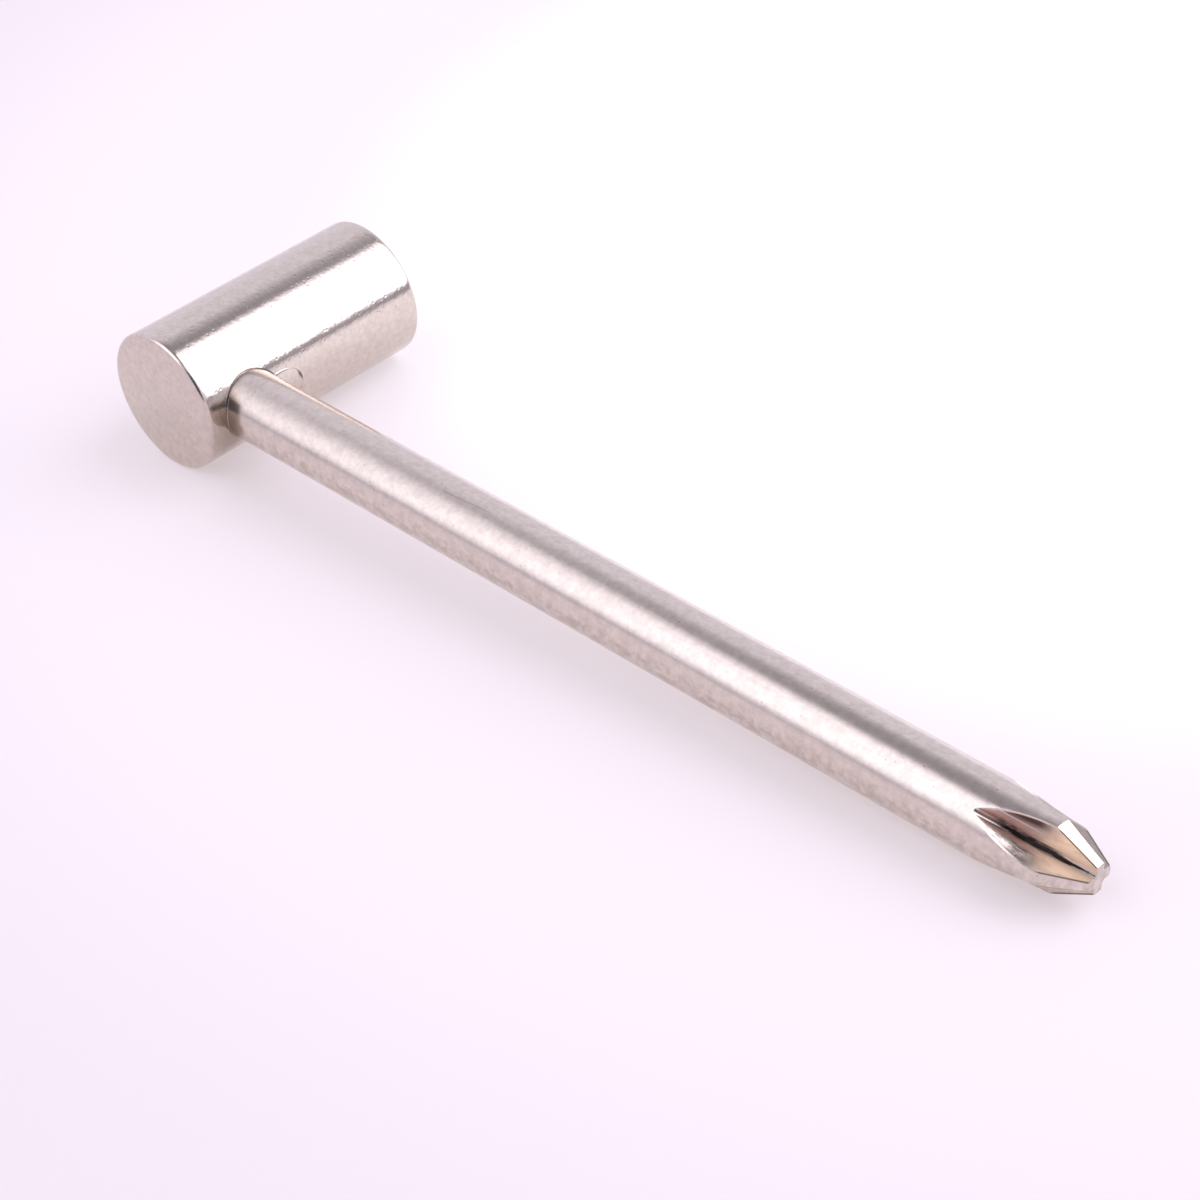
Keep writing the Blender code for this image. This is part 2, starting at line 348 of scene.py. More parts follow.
bpy.ops.object.mode_set(mode="EDIT")
pick("VERT", lambda vert: abs(vert.co.y) < body_half_width / 2)
bpy.ops.mesh.bevel(offset=ROOT_ROUND, segments=ROOT_STEPS, affect="VERTICES")
bpy.ops.mesh.select_mode(type="FACE")
bpy.ops.mesh.select_all(action="SELECT")
straight_run = to_tip * (FLUTE_STRAIGHT + PAST_TIP)
bpy.ops.mesh.extrude_region_move(TRANSFORM_OT_translate={"value": straight_run})
pick("FACE", lambda face: (face.calc_center_median() - lift_out).dot(to_tip) < WELD)
bpy.ops.mesh.spin(steps=RUN_OUT_STEPS, angle=-RUN_OUT, center=axle, axis=(0, 1, 0))
bpy.ops.mesh.select_all(action="SELECT")
bpy.ops.mesh.remove_doubles(threshold=WELD)
bpy.ops.mesh.normals_make_consistent(inside=False)
bpy.ops.object.mode_set(mode="OBJECT")
measure(sweep)

# %% [markdown]
# ## Mill the point
#
# Four copies of the sweep, a quarter turn apart, cut the point. The shaft was brazed in a little off
# square, so they are all rolled by three degrees. Plating rounds every milled edge a little, and those
# thin rounds catch the light along the flutes. Only the sharp edges of the point are bevelled, picked by
# the angle between their faces.

# %% Mill the flutes and break their edges
FLUTE_COUNT = 4
TIP_ROLL = math.radians(-3)
EDGE_ROUND = 0.10 * MM
EDGE_STEPS = 3
SHARP_FROM = math.radians(20)
POINT_START = reach - 14 * MM

for number in range(FLUTE_COUNT):
    flute = sweep.copy()
    flute.data = sweep.data.copy()
    flute.name = f"flute_{number + 1}"
    bpy.context.collection.objects.link(flute)
    flute.matrix_world = Matrix.Rotation(TIP_ROLL + (2 * number + 1) * math.pi / FLUTE_COUNT, 4, "X")
    combine(shaft, flute)
bpy.data.objects.remove(sweep, do_unlink=True)


def is_sharp(edge):
    """Whether an edge of the point is sharp enough to be broken."""
    on_point = min(vert.co.x for vert in edge.verts) > POINT_START
    return on_point and edge.is_manifold and edge.calc_face_angle() > SHARP_FROM


only(shaft)
bpy.ops.object.mode_set(mode="EDIT")
bpy.ops.mesh.select_all(action="SELECT")
bpy.ops.mesh.remove_doubles(threshold=2 * WELD)
print(pick("EDGE", is_sharp), "sharp edges to break")
bpy.ops.mesh.bevel(offset=EDGE_ROUND, segments=EDGE_STEPS, clamp_overlap=True)
bpy.ops.mesh.select_all(action="SELECT")
bpy.ops.mesh.remove_doubles(threshold=WELD)
bpy.ops.object.mode_set(mode="OBJECT")
measure(shaft)

# %% [markdown]
# ## Filler metal
#
# Molten filler was fed into the corner on the socket's side, where it froze as a low drop, and it ran
# round the shaft in a thin hollow fillet. The seam is saddle-shaped, so the filler is first modelled on a
# flat wall and bent afterwards. The fillet is a torus pressed into the corner: its section keeps two
# straight legs and gets a hollow face between them. It is a little wider over the shaft, where more
# filler flowed.

# %% Model the fillet on a flat wall
FILLET_LEG = 0.10 * MM
FILLET_EXTRA = 0.05 * MM
FILLET_EXTRA_AT = math.radians(125)
FILLET_EXTRA_WIDTH = math.radians(40)
FILLET_SIDES = 240
FILLET_SECTION = 48
HOLLOW = 0.9


def fillet_share(section):
    """How far the fillet's surface lies from the corner, as a share of its leg, in a section direction."""
    across, along = math.cos(section), math.sin(section)
    if across <= 0 or along <= 0:
        return 1.0
    flat = 1 / (across + along)
    hollow = across + along - math.sqrt(2 * across * along)
    return flat + HOLLOW * (hollow - flat)


def fillet_leg(around):
    """The fillet's leg at an angle round the shaft, counted from the socket's side over the top."""
    away = math.remainder(around - FILLET_EXTRA_AT, 2 * math.pi) / FILLET_EXTRA_WIDTH
    return FILLET_LEG + FILLET_EXTRA * math.exp(-away * away)


bpy.ops.object.select_all(action="DESELECT")
bpy.ops.mesh.primitive_torus_add(
    major_radius=shaft_radius,
    minor_radius=FILLET_LEG,
    major_segments=FILLET_SIDES,
    minor_segments=FILLET_SECTION,
    rotation=(0, math.radians(90), 0),
)
filler = bpy.context.object
filler.name = "braze_filler"
bpy.ops.object.transform_apply(location=True, rotation=True, scale=True)
for vert in filler.data.vertices:
    around = math.atan2(vert.co.z, vert.co.y)
    outward = Vector((0, math.cos(around), math.sin(around)))
    section = math.atan2(vert.co.x, vert.co.dot(outward) - shaft_radius)
    leg = fillet_leg(around) * fillet_share(section)
    vert.co = outward * (shaft_radius + leg * math.cos(section)) + ALONG_SHAFT * leg * math.sin(section)
measure(filler)

# %% [markdown]
# The drop is a sphere, flattened and made to thin out away from the shaft. A Boolean alone would leave a
# crease where it meets the fillet, so both are melted together with a voxel remesh and smoothed, as the
# metal's own tension did it.

# %% Model the drop and melt it on
DROP_SEGMENTS = 64
DROP_RINGS = 32
DROP_SPREAD = 2.3 * MM
DROP_HALF_WIDTH = 1.75 * MM
DROP_RISE = 0.16 * MM
DROP_FLATNESS = 0.5
DROP_TAPER = 0.65
MELT_VOXEL = 0.025 * MM
MELT_SOFTENING = 0.5
MELT_SMOOTHING = 6

bpy.ops.object.select_all(action="DESELECT")
bpy.ops.mesh.primitive_uv_sphere_add(segments=DROP_SEGMENTS, ring_count=DROP_RINGS, radius=1)
drop = bpy.context.object
drop.name = "drop"
for vert in drop.data.vertices:
    level = math.copysign(abs(vert.co.x) ** DROP_FLATNESS, vert.co.x)
    vert.co.x = level * (1 - DROP_TAPER * max(vert.co.y, 0))
drop.scale = (DROP_RISE, DROP_SPREAD, DROP_HALF_WIDTH)
drop.location.y = shaft_radius
bpy.ops.object.transform_apply(location=True, rotation=True, scale=True)
combine(filler, drop, "UNION")

only(filler)
melt = filler.modifiers.new("Melt", "REMESH")
melt.mode = "VOXEL"
melt.voxel_size = MELT_VOXEL
bpy.ops.object.modifier_apply(modifier=melt.name)
settle = filler.modifiers.new("Settle", "SMOOTH")
settle.factor = MELT_SOFTENING
settle.iterations = MELT_SMOOTHING
bpy.ops.object.modifier_apply(modifier=settle.name)
measure(filler)

# %% [markdown]
# ## Bend the filler onto the head
#
# The part of the filler inside the shaft and behind the wall is cut off, a hair below both surfaces, so
# that no slit shows. A bisect with fill would leave a cap across the hole, so both cuts are Booleans.
# Then each point moves in as far as the round head lies behind the flat wall, which bends the ring into
# the saddle shape of the seam.

# %% Trim the filler and bend it
SUNK = 0.03 * MM
TRIM_LENGTH = 3 * MM
WALL_SIZE = 20 * MM

trim_outline = [
    Vector((-TRIM_LENGTH, 0, 0)),
    Vector((-TRIM_LENGTH, shaft_radius - SUNK, 0)),
    Vector((TRIM_LENGTH, shaft_radius - SUNK, 0)),
    Vector((TRIM_LENGTH, 0, 0)),
]
combine(filler, turned("shaft_room", trim_outline, {}, ALONG_SHAFT, SHAFT_SIDES))

bpy.ops.object.select_all(action="DESELECT")
bpy.ops.mesh.primitive_cube_add(size=WALL_SIZE, location=(-WALL_SIZE / 2 - SUNK, 0, 0))
wall = bpy.context.object
wall.name = "flat_wall"
combine(filler, wall)
for vert in filler.data.vertices:
    vert.co.x += math.sqrt(head_radius**2 - vert.co.z**2)
measure(filler)

# %% [markdown]
# ## Lay the pieces down
#
# Round faces are shaded smooth and real edges stay sharp. Weighted normals let the large faces decide the
# shading, so that a flat stays flat right up to its broken edge. Then each piece is tipped onto the
# floor, and the move is applied, so that its place is in its mesh.

# %% Smooth and place the pieces
SMOOTH_UP_TO = math.radians(30)

for piece in (head, shaft, filler):
    only(piece)
    bpy.ops.object.shade_smooth_by_angle(angle=SMOOTH_UP_TO)
    weighted = piece.modifiers.new("Even shading", "WEIGHTED_NORMAL")
    weighted.keep_sharp = True
    bpy.ops.object.modifier_apply(modifier=weighted.name)
    piece.matrix_world = bench_to_floor
    bpy.ops.object.transform_apply(location=True, rotation=True, scale=True)
    lowest = min(vert.co.z for vert in piece.data.vertices)
    print(f"{piece.name}: lowest point {lowest / MM:.3f} mm above the floor")

# %% [markdown]
# ## Node tools
#
# Procedural finishes are networks of small nodes, and the same few steps come back in each: add a node,
# link it, do a sum, fade from one value to another. Short helpers keep the finishes readable. Where a
# value below is a pair, it says where a fade starts and where it is full.

# %% Nodes, links and sums
def add(tree, kind, **settings):
    """Adds a shader node and sets its properties."""
    made = tree.nodes.new(kind)
    for name, value in settings.items():
        setattr(made, name, value)
    return made


def feed(tree, source, target):
    """Links a socket to an input, or sets the input where the source is a plain value."""
    if isinstance(source, bpy.types.NodeSocket):
        tree.links.new(source, target)
    else:
        target.default_value = source


def maths(tree, operation, *values):
    """A sum on numbers or sockets."""
    node = add(tree, "ShaderNodeMath", operation=operation)
    for value, target in zip(values, node.inputs):
        feed(tree, value, target)
    return node.outputs["Value"]


def times(tree, first, *others):
    """Several values multiplied together."""
    for other in others:
        first = maths(tree, "MULTIPLY", first, other)
    return first


def strongest(tree, first, *others):
    """The largest of several masks."""
    for other in others:
        first = maths(tree, "MAXIMUM", first, other)
    return first


def apart(tree, first, second):
    """How far two values are from each other."""
    return maths(tree, "ABSOLUTE", maths(tree, "SUBTRACT", first, second))


def fade(tree, value, start, full):
    """Goes smoothly from 0 where a value is at start to 1 where it is at full."""
    node = add(tree, "ShaderNodeMapRange", interpolation_type="SMOOTHSTEP")
    feed(tree, value, node.inputs["Value"])
    feed(tree, start, node.inputs["From Min"])
    feed(tree, full, node.inputs["From Max"])
    return node.outputs["Result"]


def between(tree, mask, low, high):
    """Goes straight from one value to another with a mask."""
    node = add(tree, "ShaderNodeMapRange")
    feed(tree, mask, node.inputs["Value"])
    node.inputs["To Min"].default_value = low
    node.inputs["To Max"].default_value = high
    return node.outputs["Result"]


def blend(tree, mask, first, second):
    """Mixes two colours by a mask."""
    node = add(tree, "ShaderNodeMix", data_type="RGBA")
    feed(tree, mask, node.inputs["Factor"])
    feed(tree, first, node.inputs["A"])
    feed(tree, second, node.inputs["B"])
    return node.outputs["Result"]


# %% [markdown]
# Patterns read Object coordinates, turned back onto the level bench and counted in millimetres, so that a
# size in a finish is a size on the wrench. Noise lies around one half, which is why it is centred before
# it roughens a distance or strengthens a contrast.

# %% Places and patterns
NOISE_ROUGHNESS = 0.6
NOISE_MIDDLE = 0.5
SPOT_CORE = 0.3


def on_bench(tree):
    """Object coordinates on the level bench, in millimetres."""
    place = add(tree, "ShaderNodeTexCoord")
    level = add(tree, "ShaderNodeMapping", vector_type="TEXTURE")
    level.inputs["Location"].default_value = crossing
    level.inputs["Rotation"].default_value = (0, rest_tilt, 0)
    level.inputs["Scale"].default_value = (MM, MM, MM)
    feed(tree, place.outputs["Object"], level.inputs["Vector"])
    return level.outputs["Vector"]


def parts_of(tree, place):
    """The X, Y and Z of a place."""
    split = add(tree, "ShaderNodeSeparateXYZ")
    feed(tree, place, split.inputs["Vector"])
    return split.outputs["X"], split.outputs["Y"], split.outputs["Z"]


def diagonal(tree, first, second):
    """The length across two sides at a right angle."""
    both = add(tree, "ShaderNodeCombineXYZ")
    feed(tree, first, both.inputs["X"])
    feed(tree, second, both.inputs["Y"])
    size = add(tree, "ShaderNodeVectorMath", operation="LENGTH")
    feed(tree, both.outputs["Vector"], size.inputs[0])
    return size.outputs["Value"]


def noise(tree, place, per_mm, detail):
    """Cloudy noise of a size given in waves per millimetre."""
    node = add(tree, "ShaderNodeTexNoise")
    feed(tree, place, node.inputs["Vector"])
    feed(tree, per_mm, node.inputs["Scale"])
    node.inputs["Detail"].default_value = detail
    node.inputs["Roughness"].default_value = NOISE_ROUGHNESS
    return node.outputs["Fac"]


def swing(tree, pattern, amount, middle):
    """Centres a pattern that lies around one half, and lets it swing by an amount round a middle."""
    centred = maths(tree, "SUBTRACT", pattern, NOISE_MIDDLE)
    return maths(tree, "MULTIPLY_ADD", centred, amount, middle)


def spot(tree, distance, radius):
    """A soft spot or line: 1 in its core, and 0 from its radius or half width on."""
    return fade(tree, distance, radius, times(tree, radius, SPOT_CORE))


print("patterns are counted from", [round(value / MM, 2) for value in crossing], "mm")

# %% [markdown]
# ## Ripple, mottle and pits
#
# Bright nickel is a mirror with a warm tint. What tells it from chrome is its surface: the plating has a
# faint ripple and a fine grain that break the edge of a reflection into specks, its tone is patchy, and
# here and there a small pit shows. All three are on more than one piece, so each is a node group with
# its own inputs, built once.

# %% Groups for the plating
RIPPLE_DETAIL = 2
MOTTLE_DETAIL = 5


def new_group(name, inputs, output):
    """An empty node group with number inputs, given with their usual values, and one number output."""
    group = bpy.data.node_groups.new(name, "ShaderNodeTree")
    for label, value in inputs.items():
        socket = group.interface.new_socket(label, in_out="INPUT", socket_type="NodeSocketFloat")
        socket.default_value = value
    group.interface.new_socket(output, in_out="OUTPUT", socket_type="NodeSocketFloat")
    return group, add(group, "NodeGroupInput").outputs, add(group, "NodeGroupOutput").inputs


ripple_inputs = {"Waves per mm": 1, "Wave height": 0.004, "Grains per mm": 4.5, "Grain height": 0.002}
tree, given, result = new_group("plating_ripple", ripple_inputs, "Height")
ripple_group = tree
place = on_bench(tree)
waves = noise(tree, place, given["Waves per mm"], RIPPLE_DETAIL)
grains = noise(tree, place, given["Grains per mm"], RIPPLE_DETAIL)
waves = times(tree, waves, given["Wave height"])
grains = times(tree, grains, given["Grain height"])
feed(tree, maths(tree, "ADD", waves, grains), result["Height"])

tree, given, result = new_group("mottle", {"Patches per mm": 1, "Contrast": 2}, "Mask")
mottle_group = tree
patches = noise(tree, on_bench(tree), given["Patches per mm"], MOTTLE_DETAIL)
stronger = swing(tree, patches, given["Contrast"], NOISE_MIDDLE)
feed(tree, maths(tree, "MINIMUM", stronger, 1), result["Mask"])

tree, given, result = new_group("pits", {"Cells per mm": 1, "Radius": 0.2, "Share": 0.3}, "Mask")
pit_group = tree
cells = add(tree, "ShaderNodeTexVoronoi")
feed(tree, on_bench(tree), cells.inputs["Vector"])
feed(tree, given["Cells per mm"], cells.inputs["Scale"])
chance = add(tree, "ShaderNodeSeparateColor")
feed(tree, cells.outputs["Color"], chance.inputs["Color"])
chosen = maths(tree, "LESS_THAN", chance.outputs["Red"], given["Share"])
pit = spot(tree, cells.outputs["Distance"], given["Radius"])
feed(tree, times(tree, pit, chosen), result["Mask"])
print("groups:", ", ".join(sorted(group.name for group in bpy.data.node_groups)))

# %% [markdown]
# ## Heat tint and painted shade at the joint
#
# Where head and shaft meet, a thin dark line runs all round the seam, partly a dark joint and partly painted
# shade in the crease. A brown tint on the side away from the drop is partly the torch's heat tint and partly
# painted shade of that sheltered corner. Both pieces and the filler share it, so it is a group too. The seam
# is where two round surfaces meet, so a point's distance from it is how far it stands off the shaft plus how
# far it stands off the head. The back of the head would fit that too, so only the shaft's side is kept.

# %% Group for the heat tint and painted seam shade
# Painted shade: the brown tint on this side is partly heat tint and partly the shade and reflected shadow of
# the sheltered corner.
STAINED_AND_SHADED_SIDE = math.radians(203)
STAIN_AND_SHADE_FACING = (0.55, 0.92)
STAIN_AND_SHADE_CLOUDS_PER_MM = 0.9
STAIN_AND_SHADE_DETAIL = 3
STAIN_AND_SHADE_RAGGED = 1.2
STAIN_AND_SHADE_STRENGTH = 0.75
SHAFT_SIDE = (1, 2)

tree, given, result = new_group("heat_stain_and_seam_shade", {"Reach": 3, "Line": 0.12}, "Mask")
stain_and_shade_group = tree
place = on_bench(tree)
along, aside, above = parts_of(tree, place)
from_shaft_axis = diagonal(tree, aside, above)
from_head_axis = diagonal(tree, along, above)
off_shaft = apart(tree, from_shaft_axis, shaft_radius / MM)
off_head = apart(tree, from_head_axis, head_radius / MM)
off_seam = maths(tree, "ADD", off_shaft, off_head)
# The dark line all round the seam is partly a dark joint and partly painted shade in the crease.
line = spot(tree, off_seam, given["Line"])

sideways = times(tree, aside, math.cos(STAINED_AND_SHADED_SIDE))
facing = maths(tree, "MULTIPLY_ADD", above, math.sin(STAINED_AND_SHADED_SIDE), sideways)
sheltered = fade(tree, maths(tree, "DIVIDE", facing, from_shaft_axis), *STAIN_AND_SHADE_FACING)
clouds = noise(tree, place, STAIN_AND_SHADE_CLOUDS_PER_MM, STAIN_AND_SHADE_DETAIL)
ragged = swing(tree, clouds, STAIN_AND_SHADE_RAGGED, off_seam)
# Brown tint, partly heat tint and partly painted shade, strongest in the sheltered corner.
brown = times(tree, fade(tree, ragged, given["Reach"], 0), sheltered, STAIN_AND_SHADE_STRENGTH)
shaft_side = fade(tree, along, *SHAFT_SIDE)
feed(tree, times(tree, strongest(tree, brown, line), shaft_side), result["Mask"])
print("heat stain faces", round(math.degrees(STAINED_AND_SHADED_SIDE)), "degrees round the shaft")

# %% [markdown]
# ## Metal with patterns
#
# Both finishes are plain metal with patterns on it. A group is placed in a material with its own values,
# and all relief is added up and sent through one Bump node, whose height is in millimetres.

# %% Helpers for a metal
def placed(tree, group, values):
    """A node group in a material, with its own values."""
    node = add(tree, "ShaderNodeGroup", node_tree=group)
    for label, value in values.items():
        node.inputs[label].default_value = value
    return node.outputs[0]


def new_metal(name):
    """A fully metallic material, given with its tree and its shader's inputs."""
    material = bpy.data.materials.new(name)
    material.use_nodes = True
    shader = material.node_tree.nodes["Principled BSDF"]
    shader.inputs["Metallic"].default_value = 1
    return material, material.node_tree, shader.inputs


def relief(tree, height, target):
    """Sends a height in millimetres to a Normal input through a Bump node."""
    bump = add(tree, "ShaderNodeBump")
    bump.inputs["Distance"].default_value = MM
    feed(tree, height, bump.inputs["Height"])
    feed(tree, bump.outputs["Normal"], target)


# %% [markdown]
# ## Bright nickel
#
# The head and the filler were plated together, over polished metal. The tone goes between a duller and a
# brighter nickel with the mottle, and the gloss goes with it. Pits are darker. The foot of the filler is
# painted dark, as shade in the crease where it runs out on the head, and this also dims the highlight on its
# rim.

# %% Head and filler finish
DULL_NICKEL = (0.53, 0.452, 0.375, 1)
CLEAN_NICKEL = (0.74, 0.663, 0.62, 1)
PIT_TONE = (0.42, 0.36, 0.33, 1)
# Heat tint colour, which also paints the shade at the seam and in the sheltered corner.
HEAT_AND_SHADE_TONE = (0.33, 0.26, 0.21, 1)
# Painted shade at the filler's foot, where it meets the head.
FOOT_SHADE_TONE = (0.10, 0.085, 0.08, 1)
HEAD_MOTTLE = {"Patches per mm": 2.0, "Contrast": 1.2}
HEAD_PITS = {"Cells per mm": 2.2, "Radius": 0.34, "Share": 0.55}
HEAD_RIPPLE = {"Waves per mm": 1.1, "Wave height": 0.010, "Grains per mm": 3.2, "Grain height": 0.008}
HEAD_PIT_SHADE = 0.25
HEAD_PIT_DEPTH = 0.006
HEAD_ROUGHNESS = (0.16, 0.10)
STAIN_AND_SHADE_REACH = 3.0
# Widths of the painted seam shade on the head and shaft, and on the filler.
SEAM_SHADE_LINE = 0.12
FILLER_SEAM_SHADE_LINE = 0.35
FOOT_HEIGHT = (0.05, 0.02)
FOOT_CLOUDS_PER_MM = 0.8
FOOT_DETAIL = 2
FOOT_RAGGED = 0.10


def foot_shade_line(tree):
    """A mask of painted shade along the filler's lowest edge, where it runs out on the head."""
    place = on_bench(tree)
    along, _, above = parts_of(tree, place)
    height = maths(tree, "SUBTRACT", diagonal(tree, along, above), head_radius / MM)
    clouds = noise(tree, place, FOOT_CLOUDS_PER_MM, FOOT_DETAIL)
    return fade(tree, swing(tree, clouds, FOOT_RAGGED, height), *FOOT_HEIGHT)


def bright_nickel(name, seam_shade_line, shaded_foot=False):
    """Bright plating: a clear mirror with a fine grain, with painted shade along the seam and in the
    sheltered corner, and at the filler's foot if asked.
    """
    material, tree, shader = new_metal(name)
    patches = placed(tree, mottle_group, HEAD_MOTTLE)
    pits = placed(tree, pit_group, HEAD_PITS)
    stain_and_shade = placed(tree, stain_and_shade_group, {"Reach": STAIN_AND_SHADE_REACH, "Line": seam_shade_line})
    ripple = placed(tree, ripple_group, HEAD_RIPPLE)
    tone = blend(tree, patches, DULL_NICKEL, CLEAN_NICKEL)
    tone = blend(tree, times(tree, pits, HEAD_PIT_SHADE), tone, PIT_TONE)
    # Heat tint with painted shade at the seam and in the sheltered corner.
    tone = blend(tree, stain_and_shade, tone, HEAT_AND_SHADE_TONE)
    if shaded_foot:
        # Painted shade at the filler's foot.
        tone = blend(tree, foot_shade_line(tree), tone, FOOT_SHADE_TONE)
    feed(tree, tone, shader["Base Color"])
    feed(tree, between(tree, patches, *HEAD_ROUGHNESS), shader["Roughness"])
    dents = times(tree, pits, -HEAD_PIT_DEPTH)
    relief(tree, maths(tree, "ADD", ripple, dents), shader["Normal"])
    return material


head.data.materials.append(bright_nickel("bright_nickel", SEAM_SHADE_LINE))
filler.data.materials.append(bright_nickel("plated_filler", FILLER_SEAM_SHADE_LINE, shaded_foot=True))
print("bright nickel on", head.name, "and", filler.name)

# %% [markdown]
# ## Flute stains and painted shade
#
# The flutes were milled after plating, so their bare steel has tanned. Burnt oil from the cutter is left in
# their roots as a nearly black line, and brown smoke covers the part where the wheel lifted out. The dark
# where the wheel lifted out is partly painted shade in the deep groove, and a soft dark band beside every
# root is painted shade.
# Painting this by hand would need an image. But the flutes lie on two planes through the shaft's axis, so
# a point's distance from the nearer plane says how far it is from a root, and the flank's slope says
# whether it is on a flute at all.

# %% Places in the flutes
STREAK_DETAIL = 4
FLANK_MARGIN = 0.08
BELOW_ROD = (0.09, 0.20)
BEHIND_TIP = (0.03, 0.12)
SIDE_BLUR = 0.1


def streaks(tree, length, per_mm):
    """Noise drawn out along the shaft to a length in millimetres."""
    drawn = add(tree, "ShaderNodeMapping")
    drawn.inputs["Scale"].default_value = (1 / length, per_mm, per_mm)
    feed(tree, on_bench(tree), drawn.inputs["Vector"])
    return noise(tree, drawn.outputs["Vector"], 1.0, STREAK_DETAIL)


def above_nought(tree, value):
    """A mask of where a value is above nought, with a blurred edge."""
    return fade(tree, value, -SIDE_BLUR, SIDE_BLUR)


def flute_places(tree):
    """Where a point of the tip lies: distances in millimetres, and masks of flutes and flanks."""
    rolled = add(tree, "ShaderNodeMapping")
    rolled.inputs["Rotation"].default_value = (-TIP_ROLL - math.pi / FLUTE_COUNT, 0, 0)
    feed(tree, on_bench(tree), rolled.inputs["Vector"])
    along, across, upwards = parts_of(tree, rolled.outputs["Vector"])
    from_tip = maths(tree, "SUBTRACT", reach / MM, along)
    first = maths(tree, "ABSOLUTE", across)
    second = maths(tree, "ABSOLUTE", upwards)
    off_root = maths(tree, "MINIMUM", first, second)
    outwards = maths(tree, "MAXIMUM", first, second)
    root = maths(tree, "MULTIPLY_ADD", from_tip, math.tan(FLUTE_ROOT_SLOPE), FLUTE_ROOT_AT_TIP / MM)
    above_root = maths(tree, "SUBTRACT", outwards, root)
    flank = maths(tree, "MULTIPLY_ADD", above_root, math.tan(FLUTE_ANGLE / 2), rim_half_width / MM)
    from_axis = diagonal(tree, first, second)
    cone = maths(tree, "MULTIPLY_ADD", from_tip, math.tan(POINT_ANGLE / 2), tip_radius / MM)
    below_rod = maths(tree, "SUBTRACT", shaft_radius / MM, from_axis)
    inside = fade(tree, maths(tree, "SUBTRACT", off_root, flank), FLANK_MARGIN, 0)
    inside = times(tree, inside, fade(tree, below_rod, *BELOW_ROD), fade(tree, from_tip, *BEHIND_TIP))
    front = above_nought(tree, maths(tree, "SUBTRACT", upwards, first))
    return {
        "from_tip": from_tip,
        "off_root": off_root,
        "below_cone": maths(tree, "SUBTRACT", cone, from_axis),
        "below_rod": below_rod,
        "inside": inside,
        "front": front,
        "far": above_nought(tree, maths(tree, "SUBTRACT", across, second)),
        "upper": times(tree, front, above_nought(tree, across)),
    }


print(f"flutes {math.degrees(FLUTE_ANGLE):.0f} degrees wide, {FLUTE_ROOT_WIDTH / MM:.1f} mm at the root")

# %% [markdown]
# Smoke is not the same everywhere. On the front flute it covers the upper flank, most of all under the rim,
# and it is darkest where the wheel lifted out, which is partly painted shade. The lower flank is streaked,
# and dark only towards its edge. The far flute is just grey. A soft band beside every root is painted shade
# at the bottom of the groove. Oil also crept along the outer edges of all flutes, and some grime is drawn
# out along the front one. Each of these is a mask of its own, and the strongest one shows.

# %% Smoke and painted shade in the flutes
WISP_LENGTH = 4.0
WISPS_PER_MM = 4.0
WISPS = (0.46, 0.60)
WISP_SHARE = 0.3
UPPER_ALONG = (2.2, 5.5)
UPPER_RUN_OUT = (5.0, 6.5)
UPPER_RIM = (1.3, 0.4)
UPPER_RIM_ALONG = (2.9, 4.6)
UPPER_OFF_ROOT = (0.4, 1.2)
LOWER_ALONG = (3.0, 5.0)
LOWER_OFF_ROOT = (0.3, 0.9)
LOWER_EDGE = (0.8, 1.4)
LOWER_EDGE_ALONG = (3.2, 4.5)
LOWER_STRENGTH = 0.75
FAR_STRENGTH = 0.42
# Painted shade beside every root, at the bottom of the groove.
ROOT_SHADE = (1.0, 0)
ROOT_SHADE_STRENGTH = 0.3
OILED_EDGE = (0.18, 0.09)
OILED_STRENGTH = 0.8
GRIME_LENGTH = 1.6
GRIME_PER_MM = 1.8
GRIME = (0.44, 0.70)
GRIME_STRENGTH = 0.32


def smoke_and_shade_mask(tree, at):
    """Smoke in the far flute and along the edges; where the wheel lifted out it is partly painted shade, and
    beside the roots it is painted shade.
    """
    from_tip, off_root = at["from_tip"], at["off_root"]
    wisps = fade(tree, streaks(tree, WISP_LENGTH, WISPS_PER_MM), *WISPS)
    broad = maths(tree, "MULTIPLY_ADD", wisps, WISP_SHARE, 1 - WISP_SHARE)
    broad = times(tree, broad, fade(tree, from_tip, *UPPER_ALONG))
    rim = times(tree, fade(tree, at["below_rod"], *UPPER_RIM), fade(tree, from_tip, *UPPER_RIM_ALONG))
    # Where the wheel lifted out the upper flank is darkest, partly smoke and partly painted shade.
    upper = strongest(tree, broad, fade(tree, from_tip, *UPPER_RUN_OUT), rim)
    upper = times(tree, upper, fade(tree, off_root, *UPPER_OFF_ROOT))
    narrow = times(tree, wisps, fade(tree, from_tip, *LOWER_ALONG), fade(tree, off_root, *LOWER_OFF_ROOT))
    edge = times(tree, fade(tree, off_root, *LOWER_EDGE), fade(tree, from_tip, *LOWER_EDGE_ALONG))
    lower = times(tree, strongest(tree, narrow, edge), LOWER_STRENGTH)
    front = maths(tree, "MULTIPLY_ADD", at["upper"], maths(tree, "SUBTRACT", upper, lower), lower)
    grime = fade(tree, streaks(tree, GRIME_LENGTH, GRIME_PER_MM), *GRIME)
    return strongest(
        tree,
        times(tree, front, at["front"]),
        times(tree, at["far"], FAR_STRENGTH),
        # Painted shade beside the roots.
        times(tree, fade(tree, off_root, *ROOT_SHADE), ROOT_SHADE_STRENGTH),
        times(tree, fade(tree, at["below_cone"], *OILED_EDGE), OILED_STRENGTH),
        times(tree, grime, at["front"], GRIME_STRENGTH),
    )


print(f"smoke from {UPPER_ALONG[0]} mm behind the tip")

# %% [markdown]
# Nearer the tip the front flute's steel is tanned, and further back it is reddish beside the root. Two
# bright scratches run along the upper flank. The burnt oil lies over all of this, in a ragged line that is
# thinnest at the tip.

